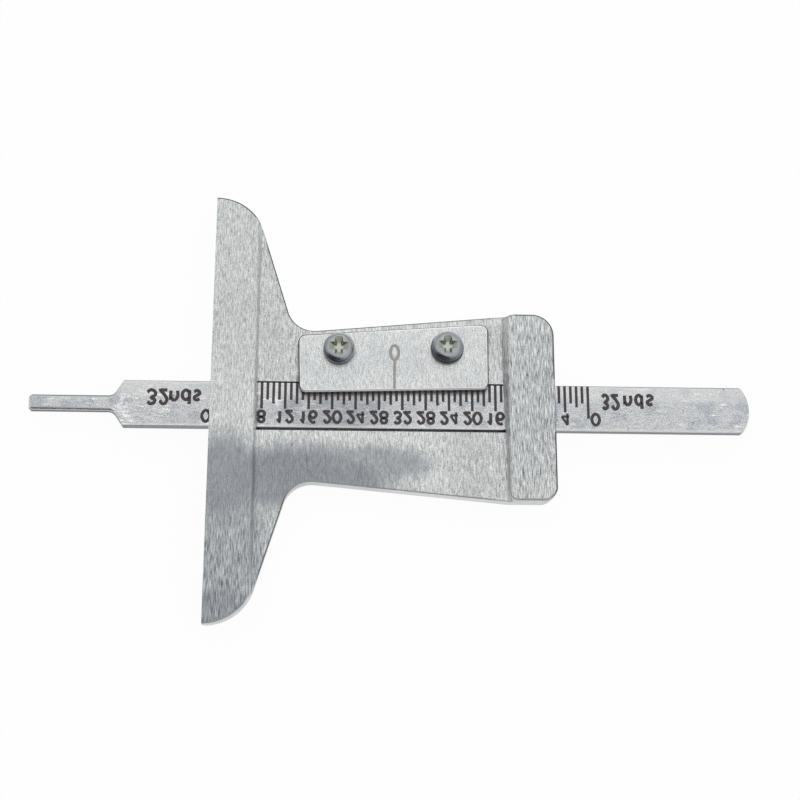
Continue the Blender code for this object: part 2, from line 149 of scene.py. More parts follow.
def wavering(tree, place, size, drift, blur):  # object coordinates pushed about by soft drifts and belt marks
    drifts = brokenMarks(tree, place, size, detail=3.0)
    marks = brokenMarks(tree, place, 0.5, size * 2)
    pushes = addNode(tree, "CombineXYZ", {"X": drifts, "Y": marks})
    centred = addNode(tree, "VectorMath", {0: pushes, 1: (0.5, 0.5, 0.0)}, operation="SUBTRACT")
    return addNode(tree, "VectorMath", {
        0: centred, 1: (drift * mm, blur * mm, 0.0), 2: place.outputs["Object"],
    }, operation="MULTIPLY_ADD")


def pits(tree, place, spacing, share, size):  # sparse dark specks: one cell in a few holds one
    cells = addNode(tree, "TexVoronoi", {
        "Vector": place.outputs["Object"], "Scale": 1 / (spacing * mm), "Randomness": 1.0,
    }, feature="F1")
    chosen = addNode(tree, "SeparateColor", {"Color": cells.outputs["Color"]})
    holds = addNode(tree, "Math", {0: chosen.outputs["Red"], 1: share}, operation="LESS_THAN")
    near = addNode(tree, "MapRange", {
        "Value": cells.outputs["Distance"], "From Min": 0.5 * size / spacing, "From Max": size / spacing,
        "To Min": 1.0, "To Max": 0.0,
    }, **softEnds)
    return addNode(tree, "Math", {0: holds, 1: near}, operation="MULTIPLY")


def facing(tree, place):  # how squarely a face looks up or down, and which way it looks across the rule
    parts = addNode(tree, "SeparateXYZ", {"Vector": place.outputs["Normal"]})
    level = addNode(tree, "Math", {0: parts.outputs["Z"]}, operation="ABSOLUTE")
    return level, parts.outputs["Y"]


# Cast base: die-cast aluminium, linished across the bars on its flat faces.
# The belt leaves pale streaks with darker grains between them; rims and side walls keep the dull cast skin, and the
# rims carry painted shade. Soft dark zones of painted shade lie on the flat faces, and the step slopes are painted
# lighter.

castBase = {
    "edgeRadius": 0.05,  # mm, broken by the belt and by handling
    "linishedColour": "#cccecd",
    # painted shade: the colour of the soft dark zones
    "paintedShadeColour": "#8d9196",
    # painted shade on the rounded rims
    "rimShadeColour": "#63676a",
    "wallColour": "#dcdedd",
    "linishedRoughness": 0.40,
    "skinRoughness": 0.55,
    # painted light: the step slopes take the linished colour, lightened by this share
    "stepLightening": 1.15,
    "stepMetal": 0.35,  # the step's slope is made less metallic, so that it reads lighter
    "fineStreak": (0.13, 0.8),  # mm across and along; the real marks are 0.03 wide, drawn wider so that they show
    "broadStreak": (0.28, 2.6),
    "longStreak": (0.11, 1.7),
    "grainSize": 0.14,  # mm; the real grit is 0.05, drawn coarser so that it shows
    "cloudSize": 5.0,
    "skinGrain": 0.35,
    "toneWeights": (1.00, 0.30, 0.75, 0.20),  # of the fine and broad marks, the grain and the clouds
    "skinWeights": (0.60, 0.40),  # of the skin's grain and the clouds
    "cut": 0.4,  # how much the long marks show outside the bold zones
    "faceAt": (-24.70, -24.85),  # mm, where the ground measuring face begins
    "slotAt": (3.85, 3.70),  # mm, where the milled walls of the slot begin
    "bold": [  # where the belt has cut deepest: centre and reach in mm, and gain
        ((19.0, 0.0), (7.0, 22.0), 2.1),
        ((-22.0, -24.0), (9.0, 13.0), 2.2),
    ],
    "paintedShadeZones": [  # painted shade, soft dark zones laid on the metal as a dark reflection: centre and reach in mm, and strength
        ((-12.5, -10.0), (17.5, 6.2), 0.95),
        ((-3.0, -8.0), (11.0, 3.4), 0.75),
        ((-22.5, -10.5), (7.0, 8.5), 0.90),
        ((-22.0, -20.0), (8.0, 14.0), 0.72),
        ((-22.5, -30.0), (9.0, 8.0), 0.95),
        ((18.5, 1.0), (6.0, 19.0), 0.38),
        ((-20.0, 20.0), (13.0, 24.0), 0.20),
        ((12.0, -6.0), (8.0, 11.0), 0.22),
    ],
    "steps": [  # the step of each bar, painted lighter: place and reach along the rule in mm, and how far the linished colour wraps onto it
        (-18.7, 0.9, 0.60),
        (15.0, 1.8, 0.22),
    ],
}


def linishedCastAluminium(look):  # a satin face with a strong broken grain across the bars
    material, tree, place = startMaterial("linishedCastAluminium")
    fine = brokenMarks(tree, place, *look["fineStreak"], detail=0.5)
    broad = brokenMarks(tree, place, *look["broadStreak"])
    longMarks = brokenMarks(tree, place, *look["longStreak"], detail=1.0)
    speck = brokenMarks(tree, place, look["grainSize"], detail=0.0)
    cloud = brokenMarks(tree, place, look["cloudSize"])
    skinGrain = brokenMarks(tree, place, look["skinGrain"], detail=3.0)
    tone = weighedSum(tree, (fine, broad, speck, cloud), look["toneWeights"], 0.0)
    lines = weighedSum(tree, (longMarks,), (1.0,), 0.0)

    spread = wavering(tree, place, 3.0, 3.0, 2.5)
    # Painted shade: soft dark zones laid on the linished faces.
    paintedShade = 0.0
    for centre, reach, strength in look["paintedShadeZones"]:
        zone = softSpot(tree, spread, centre, reach)
        zone = addNode(tree, "Math", {0: zone, 1: strength}, operation="MULTIPLY")
        paintedShade = addNode(tree, "Math", {0: paintedShade, 1: zone}, operation="MAXIMUM")
    flat = addNode(tree, "Mix", {
        0: paintedShade, 6: linearColour(look["linishedColour"]), 7: linearColour(look["paintedShadeColour"]),
    }, **twoColours)
    calm = addNode(tree, "MapRange", {  # the painted dark zones show less grain
        "Value": paintedShade, "From Min": 0.3, "From Max": 1.0, "To Min": 1.0, "To Max": 0.55,
    }, **softEnds)
    brightness = addNode(tree, "Math", {0: tone, 1: calm, 2: 1.0}, operation="MULTIPLY_ADD")
    cut = look["cut"]
    for centre, reach, gain in look["bold"]:
        zone = softSpot(tree, spread, centre, reach)
        cut = addNode(tree, "Math", {0: zone, 1: gain, 2: cut}, operation="MULTIPLY_ADD")
    brightness = addNode(tree, "Math", {0: lines, 1: cut, 2: brightness}, operation="MULTIPLY_ADD")
    flat = addNode(tree, "VectorMath", {0: flat, "Scale": brightness}, operation="SCALE")

    level, sideways = facing(tree, place)
    spot = addNode(tree, "SeparateXYZ", {"Vector": place.outputs["Object"]})
    start, end = look["faceAt"]
    front = addNode(tree, "MapRange", {
        "Value": spot.outputs["X"], "From Min": start * mm, "From Max": end * mm,
    }, **softEnds)
    across = addNode(tree, "Math", {0: spot.outputs["Y"]}, operation="ABSOLUTE")
    start, end = look["slotAt"]
    milled = addNode(tree, "MapRange", {"Value": across, "From Min": start * mm, "From Max": end * mm}, **softEnds)
    ground = addNode(tree, "Math", {0: level, 1: front}, operation="MAXIMUM")
    ground = addNode(tree, "Math", {0: ground, 1: milled}, operation="MAXIMUM")
    aside = addNode(tree, "Math", {0: sideways}, operation="ABSOLUTE")
    lengthways = addNode(tree, "MapRange", {"Value": aside, "From Min": 0.25, "From Max": 0.12}, **softEnds)
    stepped = near = 0.0
    for along, reach, wrap in look["steps"]:
        band = softSpot(tree, place.outputs["Object"], (along, 0.0), (reach, 1000.0), 0.6)
        near = addNode(tree, "Math", {0: near, 1: band}, operation="MAXIMUM")
        band = addNode(tree, "Math", {0: band, 1: lengthways}, operation="MULTIPLY")
        ground = addNode(tree, "Math", {0: band, 1: wrap, 2: ground}, operation="MULTIPLY_ADD")
        stepped = addNode(tree, "Math", {0: stepped, 1: band}, operation="MAXIMUM")
    linished = addNode(tree, "MapRange", {"Value": ground, "From Min": 0.92, "From Max": 0.998}, **softEnds)

    # Painted shade darkens the rounded rims, least near the steps and on the rims that face -Y.
    rim = addNode(tree, "MapRange", {"Value": level, "From Min": 0.12, "From Max": 0.35}, **softEnds)
    paintedByFacing = addNode(tree, "MapRange", {
        "Value": sideways, "From Min": -0.45, "From Max": -0.15, "To Min": 0.4,
    }, **softEnds)
    clear = addNode(tree, "MapRange", {"Value": near, "To Min": 1.0, "To Max": 0.4}, **softEnds)
    rimShade = addNode(tree, "Math", {0: rim, 1: paintedByFacing}, operation="MULTIPLY")
    rimShade = addNode(tree, "Math", {0: rimShade, 1: clear}, operation="MULTIPLY")
    skin = addNode(tree, "Mix", {
        0: rimShade, 6: linearColour(look["wallColour"]), 7: linearColour(look["rimShadeColour"]),
    }, **twoColours)
    skinTone = weighedSum(tree, (skinGrain, cloud), look["skinWeights"])
    skin = addNode(tree, "VectorMath", {0: skin, "Scale": skinTone}, operation="SCALE")
    # Painted light: the step slopes take the linished colour, made lighter.
    slopeColour = addNode(tree, "VectorMath", {0: flat, "Scale": look["stepLightening"]}, operation="SCALE")
    skin = addNode(tree, "Mix", {0: stepped, 6: skin, 7: slopeColour}, **twoColours)
    colour = addNode(tree, "Mix", {0: linished, 6: skin, 7: flat}, **twoColours)

    belt = addNode(tree, "Math", {0: tone, 1: -0.20, 2: look["linishedRoughness"]}, operation="MULTIPLY_ADD")
    rough = addNode(tree, "Mix", {0: linished, 2: look["skinRoughness"], 3: belt}, data_type="FLOAT")
    steep = addNode(tree, "MapRange", {"Value": level, "From Min": 0.90, "From Max": 0.75}, **softEnds)
    slope = addNode(tree, "Math", {0: stepped, 1: steep}, operation="MULTIPLY")
    metal = addNode(tree, "Mix", {0: slope, 2: 1.0, 3: look["stepMetal"]}, data_type="FLOAT")
    height = addNode(tree, "Mix", {0: linished, 2: skinGrain, 3: fine}, data_type="FLOAT")
    relief = addNode(tree, "Bump", {"Height": height, "Strength": 0.3, "Distance": 0.02 * mm})
    closeMaterial(tree, {"Base Color": colour, "Roughness": rough, "Metallic": metal, "Normal": relief})
    return material


def makeCastBase(look):
    material = linishedCastAluminium(look)
    piece = finishPiece("cast_base", mergedCopy("base_frame"), "base", material, ["base_frame"])
    breakEdges(piece, look["edgeRadius"] * mm)


makeCastBase(castBase)
print("cast base done")


# Rule: rolled aluminium strip, brushed lengthways, with dull bluish patches, bright scuffs and small pits.

slideRule = {
    "edgeRadius": 0.04,  # mm
    "brushedColour": "#c3c5c6",
    "dullColour": "#b0b4b9",
    # bright scuffs; also the colour of the painted highlight along the edges and of the painted light below the
    # plate
    "scuffAndHighlightColour": "#e3e4e3",
    "shadeColour": "#8a8d93",
    "rimHighlightColour": "#dcdede",  # painted highlight on the rounded edges that face -Y
    "edgeShadeColour": "#656c76",  # painted shade on the sides and on the rounded edges that face +Y
    "roughness": 0.36,
    "fineStreak": (0.13, 0.6),  # mm; the real lines are 0.03 wide, drawn wider so that they show
    "broadStreak": (0.30, 1.6),
    "grainSize": 0.14,  # mm; the real grain is 0.04, drawn coarser so that it shows
    "cloudSize": 2.6,
    "patchSize": 2.2,
    "toneWeights": (0.60, 0.30, 1.20),  # of the fine and broad marks and the grain
    "shade": ((-8.0, 0.0), (9.0, 7.0), 0.5),  # painted shade: a soft dark zone laid across the strip; centre and reach in mm, and strength
    "wornAt": (-5.0, 25.0),  # mm, where the wear of the tail begins and is full
    "highlightAt": (2.70, 3.02),  # mm from the middle, where the painted highlight along the edges begins and is full
    "lightenedAt": (0.4, 1.7),  # mm, where the painted light just below the plate begins and is full, lifting the plate's shade
    "pitSpacing": 1.5,  # mm
    "pitSize": 0.14,
    "pitShare": 0.30,  # of the cells that hold one
    "pitColour": "#63666a",
}


def brushedRolledAluminium(look):  # fine lines along the strip, broken up by wear
    material, tree, place = startMaterial("brushedRolledAluminium")
    fine = brokenMarks(tree, place, *look["fineStreak"], turned=90.0)
    broad = brokenMarks(tree, place, *look["broadStreak"], turned=90.0)
    speck = brokenMarks(tree, place, look["grainSize"], detail=0.0)
    cloud = brokenMarks(tree, place, look["cloudSize"], detail=3.0)
    patchy = brokenMarks(tree, place, look["patchSize"], detail=4.0)
    tone = weighedSum(tree, (fine, broad, speck), look["toneWeights"])

    dull = addNode(tree, "MapRange", {"Value": cloud, "From Min": 0.46, "From Max": 0.62}, **softEnds)
    colour = addNode(tree, "Mix", {
        0: dull, 6: linearColour(look["brushedColour"]), 7: linearColour(look["dullColour"]),
    }, **twoColours)
    spot = addNode(tree, "SeparateXYZ", {"Vector": place.outputs["Object"]})
    start, end = look["wornAt"]
    worn = addNode(tree, "MapRange", {  # the tail end is pitted most, scuffed least
        "Value": spot.outputs["X"], "From Min": start * mm, "From Max": end * mm, "To Min": 0.25,
    }, **softEnds)
    scuffed = addNode(tree, "Math", {0: broad, 1: patchy}, operation="MULTIPLY")
    scuffed = addNode(tree, "Math", {0: worn, 1: -0.07, 2: scuffed}, operation="MULTIPLY_ADD")
    scuffed = addNode(tree, "MapRange", {"Value": scuffed, "From Min": 0.27, "From Max": 0.38}, **softEnds)
    scuffAndHighlightColour = linearColour(look["scuffAndHighlightColour"])
    colour = addNode(tree, "Mix", {0: scuffed, 6: colour, 7: scuffAndHighlightColour}, **twoColours)
    # Painted shade: a soft dark zone laid across the strip.
    centre, reach, strength = look["shade"]
    shade = softSpot(tree, wavering(tree, place, 2.5, 4.0, 2.0), centre, reach)
    shade = addNode(tree, "Math", {0: shade, 1: strength}, operation="MULTIPLY")
    colour = addNode(tree, "Mix", {0: shade, 6: colour, 7: linearColour(look["shadeColour"])}, **twoColours)
    colour = addNode(tree, "VectorMath", {0: colour, "Scale": tone}, operation="SCALE")

    # Painted highlight along both edges of the strip.
    aside = addNode(tree, "Math", {0: spot.outputs["Y"]}, operation="ABSOLUTE")
    start, end = look["highlightAt"]
    rim = addNode(tree, "MapRange", {
        "Value": aside, "From Min": start * mm, "From Max": end * mm, "To Max": 0.45,
    }, **softEnds)
    # Painted light just below the plate, lifting the plate's shade.
    start, end = look["lightenedAt"]
    paintedLight = addNode(tree, "MapRange", {
        "Value": spot.outputs["Y"], "From Min": start * mm, "From Max": end * mm, "To Max": 0.35,
    }, **softEnds)
    for share in (rim, paintedLight):
        colour = addNode(tree, "Mix", {0: share, 6: colour, 7: scuffAndHighlightColour}, **twoColours)
    share = addNode(tree, "Math", {0: worn, 1: look["pitShare"]}, operation="MULTIPLY")
    pitted = pits(tree, place, look["pitSpacing"], share, look["pitSize"])
    colour = addNode(tree, "Mix", {0: pitted, 6: colour, 7: linearColour(look["pitColour"])}, **twoColours)

    level, sideways = facing(tree, place)
    top = addNode(tree, "MapRange", {"Value": level, "From Min": 0.88, "From Max": 0.985}, **softEnds)
    # Painted shade on the sides and the edges that face +Y, painted highlight on the rounded edges that face -Y.
    paintedByFacing = addNode(tree, "Math", {0: sideways, 1: -0.25, 2: level}, operation="MULTIPLY_ADD")
    paintedByFacing = addNode(tree, "MapRange", {"Value": paintedByFacing, "From Min": 0.50, "From Max": 0.80}, **softEnds)
    side = addNode(tree, "Mix", {
        0: paintedByFacing, 6: linearColour(look["edgeShadeColour"]), 7: linearColour(look["rimHighlightColour"]),
    }, **twoColours)
    colour = addNode(tree, "Mix", {0: top, 6: side, 7: colour}, **twoColours)
    rough = addNode(tree, "Math", {0: tone, 1: -0.25, 2: look["roughness"] + 0.25}, operation="MULTIPLY_ADD")
    lines = addNode(tree, "Bump", {"Height": fine, "Strength": 0.2, "Distance": 0.015 * mm})
    sunk = addNode(tree, "Math", {0: 1.0, 1: pitted}, operation="SUBTRACT")
    relief = addNode(tree, "Bump", {"Height": sunk, "Strength": 0.6, "Distance": 0.03 * mm, "Normal": lines})
    closeMaterial(tree, {"Base Color": colour, "Roughness": rough, "Metallic": 1.0, "Normal": relief})
    return material


def makeSlideRule(look):
    material = brushedRolledAluminium(look)
    piece = finishPiece("brushed_rule", mergedCopy("slide_rule"), "rule", material, ["slide_rule"])
    breakEdges(piece, look["edgeRadius"] * mm)


makeSlideRule(slideRule)
print("slide rule done")


# Figures: the centreline of every stroke in a unit box; a third value marks a sharp corner.
# The picture is mirrored, so every figure is stamped upside down.

figureStrokes = {
    "0": [(True, [(0.5, 1), (1, 0.72), (1, 0.28), (0.5, 0), (0, 0.28), (0, 0.72)])],
    "1": [(False, [(0.0, 0.70), (0.62, 0.88), (1.0, 1.0, 1), (1.0, 0.0)])],
    "2": [(False, [(0.03, 0.74), (0.5, 1), (0.97, 0.72), (0.72, 0.40), (0, 0, 1), (1, 0)])],
    "3": [(False, [(0.05, 0.86), (0.48, 1), (0.93, 0.77), (0.45, 0.55, 1), (1, 0.28), (0.48, 0), (0, 0.17)])],
    "4": [(False, [(0.78, 0), (0.78, 1)]), (False, [(0.78, 1), (0, 0.26)]), (False, [(0, 0.26), (1.05, 0.26)])],
    "6": [(False, [(0.90, 0.92), (0.5, 1), (0, 0.45), (0.5, 0), (1, 0.30), (0.5, 0.60), (0.06, 0.38)])],
    "8": [
        (True, [(0.5, 1), (0.92, 0.78), (0.5, 0.54), (0.08, 0.78)]),
        (True, [(0.5, 0.54), (1, 0.27), (0.5, 0), (0, 0.27)]),
    ],
    "n": [(False, [(0, 0, 1), (0, 0.68, 1)]), (False, [(0, 0.46), (0.5, 0.68), (1, 0.46), (1, 0)])],
    "d": [(False, [(1, 1, 1), (1, 0, 1)]), (False, [(1, 0.52), (0.5, 0.68), (0, 0.34), (0.5, 0), (1, 0.16)])],
    "s": [(False, [(0.95, 0.58), (0.5, 0.68), (0.08, 0.51), (0.5, 0.35), (0.95, 0.18), (0.5, 0), (0, 0.10)])],
}


def stampFigure(bm, figure, left, top, width, height, stroke, surface, proud):  # in mm
    curve = bpy.data.curves.new("figure", "CURVE")
    curve.dimensions = "3D"
    curve.bevel_depth = stroke / 2
    curve.bevel_resolution = 1
    curve.resolution_u = 6
    curve.use_fill_caps = True
    for closed, points in figureStrokes[figure]:
        spline = curve.splines.new("BEZIER")
        spline.bezier_points.add(len(points) - 1)
        spline.use_cyclic_u = closed
        for knot, point in zip(spline.bezier_points, points):
            knot.co = (point[0] * (width - stroke), point[1] * (height - stroke), 0.0)
            knot.handle_left_type = "VECTOR" if len(point) > 2 else "AUTO"
            knot.handle_right_type = knot.handle_left_type
    carrier = bpy.data.objects.new("figure", curve)
    bpy.context.scene.collection.objects.link(carrier)
    graph = bpy.context.evaluated_depsgraph_get()
    mesh = bpy.data.meshes.new_from_object(carrier.evaluated_get(graph))
    bpy.data.objects.remove(carrier)
    before = set(bm.verts)
    bm.from_mesh(mesh)
    fresh = [v for v in bm.verts if v not in before]
    bmesh.ops.scale(bm, verts=fresh, vec=(mm, -mm, 2 * proud * mm / stroke))  # turned over and pressed flat
    start = ((left + stroke / 2) * mm, (top - stroke / 2) * mm, surface)
    bmesh.ops.translate(bm, verts=fresh, vec=start)


def stampBar(bm, left, right, low, high):  # a plain upright stroke, in mm
    made = bmesh.ops.create_grid(bm, x_segments=1, y_segments=1, size=0.5)
    bmesh.ops.scale(bm, verts=made["verts"], vec=((right - left) * mm, (high - low) * mm, 1.0))
    bmesh.ops.translate(bm, verts=made["verts"], vec=((left + right) / 2 * mm, (low + high) / 2 * mm, 0.0))


def inkDepth(bm, surface, sunk, proud):  # flat marks become a film that starts in the metal and ends just above it
    raised = bmesh.ops.extrude_face_region(bm, geom=bm.faces[:])
    top = [part for part in raised["geom"] if isinstance(part, bmesh.types.BMVert)]
    bmesh.ops.translate(bm, verts=top, vec=(0.0, 0.0, (proud + sunk) * mm))
    bmesh.ops.translate(bm, verts=bm.verts, vec=(0.0, 0.0, surface - sunk * mm))


def etchedInk(name, dark, pale, wear):  # matt, a little paler and broken where the ink has rubbed thin
    material, tree, place = startMaterial(name)
    thin = brokenMarks(tree, place, 0.16, detail=3.0)
    share = addNode(tree, "MapRange", {"Value": thin, "From Min": 0.60 - wear, "From Max": 0.78 - wear}, **softEnds)
    colour = addNode(tree, "Mix", {0: share, 6: linearColour(dark), 7: linearColour(pale)}, **twoColours)
    relief = addNode(tree, "Bump", {"Height": thin, "Strength": 0.3, "Distance": 0.01 * mm})
    closeMaterial(tree, {"Base Color": colour, "Roughness": 0.62, "Normal": relief})
    return material


# Graduations and figures on the rule: dark brown ink in a shallow etch.

scalePrint = {
    "division": 25.4 / 32,  # mm, a 32nd of an inch
    "divisions": 64,
    "centreTick": 1.05,  # where the middle line is
    "tickWidth": 0.37,
    "tickTop": 3.17,  # the lengths below run down from here
    "oddTick": 2.49,
    "evenTick": 3.04,
    "fourthTick": 3.75,
    "zeroTick": 4.60,
    "figureTop": -0.64,
    "figureRise": 0.0028,  # the print climbs a little towards the tail
    "figureHeight": 1.98,
    "figureWidth": 1.34,
    "figureStroke": 0.43,
    "fourStroke": 0.35,  # thinner, so that its counter stays open
    "unitStroke": 0.47,
    "figureGap": 0.02,
    "oneWidth": 0.79,
    "oneGap": 0.39,
    "zeroPlaces": (-25.45, 27.42),
    "unitHeight": 2.42,
    "unitMarks": [  # figure, left, right and top
        ("3", -33.65, -32.05, 2.08), ("2", -31.98, -30.50, 2.08), ("n", -30.50, -29.12, 2.01),
        ("d", -28.95, -27.51, 2.10), ("s", -27.38, -26.10, 2.05),
        ("3", 28.20, 29.42, 2.18), ("2", 29.50, 30.86, 2.14), ("n", 31.28, 32.56, 2.15),
        ("d", 32.80, 34.10, 2.20), ("s", 34.32, 35.60, 2.19),
    ],
    "ruleEdge": 3.2,  # mm from the middle, with its rounding
    "ruleRound": 0.2,
    "proud": 0.010,
    "sunk": 0.010,
    "inkColour": "#3b3436",
    "paleInkColour": "#6a6263",
    "wear": 0.08,  # how much of the ink has gone pale
}


def stampNumber(bm, number, centre, surface, look):
    widths = [look["oneWidth"] if d == "1" else look["figureWidth"] for d in number]
    gaps = [look["oneGap"] if d == "1" else look["figureGap"] for d in number[:-1]] + [0.0]
    left = centre - (sum(widths) + sum(gaps)) / 2
    top = look["figureTop"] + look["figureRise"] * centre
    for digit, width, gap in zip(number, widths, gaps):
        stroke = look["fourStroke" if digit == "4" else "figureStroke"]
        stampFigure(bm, digit, left, top, width, look["figureHeight"], stroke, surface, look["proud"])
        left += width + gap


def makeScalePrint(look):
    bm = bmesh.new()
    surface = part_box("slide_rule")[1].z
    half = look["tickWidth"] / 2
    middle = look["divisions"] // 2
    fourths = []
    for tick in range(look["divisions"] + 1):
        value = middle - abs(tick - middle)
        x = look["centreTick"] + (tick - middle) * look["division"]
        length = look["evenTick"] if value % 2 == 0 else look["oddTick"]
        if value == 0:
            length = look["zeroTick"]
        elif value % 4 == 0:
            length = look["fourthTick"]
            fourths.append((str(value), x))
        stampBar(bm, x - half, x + half, look["tickTop"] - length, look["tickTop"])
    rounding = look["ruleRound"]
    edge = look["ruleEdge"] - rounding
    for y in (edge, edge + 0.06, edge + 0.11, edge + 0.15):
        bmesh.ops.bisect_plane(bm, geom=bm.verts[:] + bm.edges[:] + bm.faces[:], dist=1e-8,
                               plane_co=(0.0, y * mm, 0.0), plane_no=(0.0, 1.0, 0.0))
    inkDepth(bm, surface, look["sunk"], look["proud"])
    for vert in bm.verts:  # the ends of the lines follow the rounded edge
        past = vert.co.y / mm - edge
        if past > 0:
            vert.co.z -= (rounding - math.sqrt(max(0.0, rounding ** 2 - past ** 2))) * mm

    for number, x in fourths:
        stampNumber(bm, number, x, surface, look)
    for x in look["zeroPlaces"]:
        stampNumber(bm, "0", x, surface, look)
    for figure, left, right, top in look["unitMarks"]:
        size = (right - left, look["unitHeight"], look["unitStroke"])
        stampFigure(bm, figure, left, top, *size, surface, look["proud"])
    bmesh.ops.recalc_face_normals(bm, faces=bm.faces)
    ink = etchedInk("etchedBrownInk", look["inkColour"], look["paleInkColour"], look["wear"])
    finishPiece("scale_print", bm, "rule", ink)


makeScalePrint(scalePrint)
print("graduations done")


# Index plate: punched aluminium sheet, brushed across, with a painted highlight on its rounded rims, painted shade
# on its edges and a worn zero mark.

indexPlate = {
    "edgeRadius": 0.05,  # mm
    "brushedColour": "#d3d5d4",
    "dullColour": "#cacdcf",
    # painted highlight on the rounded rims
    "rimHighlightColour": "#ffffff",
    "rimMetal": 0.3,  # the rim that faces -Y is made less metallic, so that its painted highlight reads pale
    # the torn band, and painted shade on the edges
    "edgeShadeColour": "#574e4d",
    "tornTop": 4.15,  # mm above the floor: the punch burnished the sheet's edge above, and tore it below; the dark torn band also stands in for the shade in the gap under the plate
    "roughness": 0.38,
    "fineStreak": (0.12, 0.7),  # mm; the real lines are 0.03 wide, drawn wider so that they show
    "broadStreak": (0.4, 4.0),
    "grainSize": 0.14,  # mm; the real grain is 0.04, drawn coarser so that it shows
    "cloudSize": 4.0,
    "toneWeights": (0.75, 0.15, 0.85),  # of the fine and broad marks and the grain
    "pitSpacing": 1.5,
    "pitSize": 0.10,
    "pitShare": 0.12,
    "pitColour": "#6c6e72",
    "skew": 1.63,  # degrees that the brushing leans
    "zeroCentre": (-0.07, 7.24),
    "zeroSize": (1.38, 2.45),
    "zeroStroke": 0.42,
    "lineX": -0.07,
    "lineTop": 6.06,
    "lineLow": 2.10,
    "lineWidth": 0.37,
    "proud": 0.006,
    "sunk": 0.010,
    "inkColour": "#98938e",
    "paleInkColour": "#bdbab6",
    "wear": 0.12,
}


def brushedSheetAluminium(look):  # even and pale, its edges rolled over by the punch, with a painted highlight on the rims and painted shade on the edges
    material, tree, place = startMaterial("brushedSheetAluminium")
    fine = brokenMarks(tree, place, *look["fineStreak"], turned=look["skew"], detail=0.5)
    broad = brokenMarks(tree, place, *look["broadStreak"], turned=look["skew"])
    speck = brokenMarks(tree, place, look["grainSize"], detail=0.0)
    cloud = brokenMarks(tree, place, look["cloudSize"])
    tone = weighedSum(tree, (fine, broad, speck), look["toneWeights"])

    dull = addNode(tree, "MapRange", {"Value": cloud, "From Min": 0.40, "From Max": 0.65}, **softEnds)
    colour = addNode(tree, "Mix", {
        0: dull, 6: linearColour(look["brushedColour"]), 7: linearColour(look["dullColour"]),
    }, **twoColours)
    colour = addNode(tree, "VectorMath", {0: colour, "Scale": tone}, operation="SCALE")
    pitted = pits(tree, place, look["pitSpacing"], look["pitShare"], look["pitSize"])
    colour = addNode(tree, "Mix", {0: pitted, 6: colour, 7: linearColour(look["pitColour"])}, **twoColours)
    level, sideways = facing(tree, place)
    # Painted highlight: the rounded rims are white.
    top = addNode(tree, "MapRange", {"Value": level, "From Min": 0.96, "From Max": 0.993}, **softEnds)
    colour = addNode(tree, "Mix", {0: top, 6: linearColour(look["rimHighlightColour"]), 7: colour}, **twoColours)

    # The torn band is dark all round, also standing in for the shade in the gap under the plate, and painted shade
    # darkens the whole edge on the sides that don't face -Y.
    spot = addNode(tree, "SeparateXYZ", {"Vector": place.outputs["Object"]})
    torn = addNode(tree, "MapRange", {
        "Value": spot.outputs["Z"], "From Min": look["tornTop"] * mm, "From Max": (look["tornTop"] - 0.1) * mm,
    }, **softEnds)
    away = addNode(tree, "MapRange", {"Value": sideways, "From Min": -0.7, "From Max": -0.4}, **softEnds)
    rounded = addNode(tree, "MapRange", {"Value": level, "From Min": 0.05, "From Max": 0.35}, **softEnds)
    tornBandAndShade = addNode(tree, "Math", {0: away, 1: rounded}, operation="MULTIPLY")
    tornBandAndShade = addNode(tree, "Math", {0: torn, 1: tornBandAndShade}, operation="MAXIMUM")
    steep = addNode(tree, "MapRange", {"Value": level, "From Min": 0.955, "From Max": 0.90}, **softEnds)
    edge = addNode(tree, "Math", {0: tornBandAndShade, 1: steep}, operation="MULTIPLY")
    colour = addNode(tree, "Mix", {0: edge, 6: colour, 7: linearColour(look["edgeShadeColour"])}, **twoColours)

    rough = addNode(tree, "Math", {0: tone, 1: -0.25, 2: look["roughness"] + 0.25}, operation="MULTIPLY_ADD")
    # Less metal on the rim that faces -Y, so that its painted highlight reads pale.
    towards = addNode(tree, "MapRange", {"Value": sideways, "From Min": -0.3, "From Max": -0.6}, **softEnds)
    diffuseRim = addNode(tree, "Math", {0: towards, 1: torn}, operation="SUBTRACT")
    metal = addNode(tree, "Mix", {0: diffuseRim, 2: 1.0, 3: look["rimMetal"]}, data_type="FLOAT")
    relief = addNode(tree, "Bump", {"Height": fine, "Strength": 0.15, "Distance": 0.015 * mm})
    closeMaterial(tree, {"Base Color": colour, "Roughness": rough, "Metallic": metal, "Normal": relief})
    return material


def makeIndexPlate(look):
    material = brushedSheetAluminium(look)
    piece = finishPiece("brushed_plate", mergedCopy("index_plate"), "base", material, ["index_plate"])
    breakEdges(piece, look["edgeRadius"] * mm)

    bm = bmesh.new()
    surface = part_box("index_plate")[1].z
    half = look["lineWidth"] / 2
    stampBar(bm, look["lineX"] - half, look["lineX"] + half, look["lineLow"], look["lineTop"])
    inkDepth(bm, surface, look["sunk"], look["proud"])
    width, height = look["zeroSize"]
    x, y = look["zeroCentre"]
    stampFigure(bm, "0", x - width / 2, y + height / 2, width, height, look["zeroStroke"], surface, look["proud"])
    bmesh.ops.recalc_face_normals(bm, faces=bm.faces)
    ink = etchedInk("wornBrownInk", look["inkColour"], look["paleInkColour"], look["wear"])
    finishPiece("index_print", bm, "base", ink)


makeIndexPlate(indexPlate)
print("index plate done")


# Screws: zinc-plated steel pan heads. The plating is bluish on the dome and greenish in the cross recess.

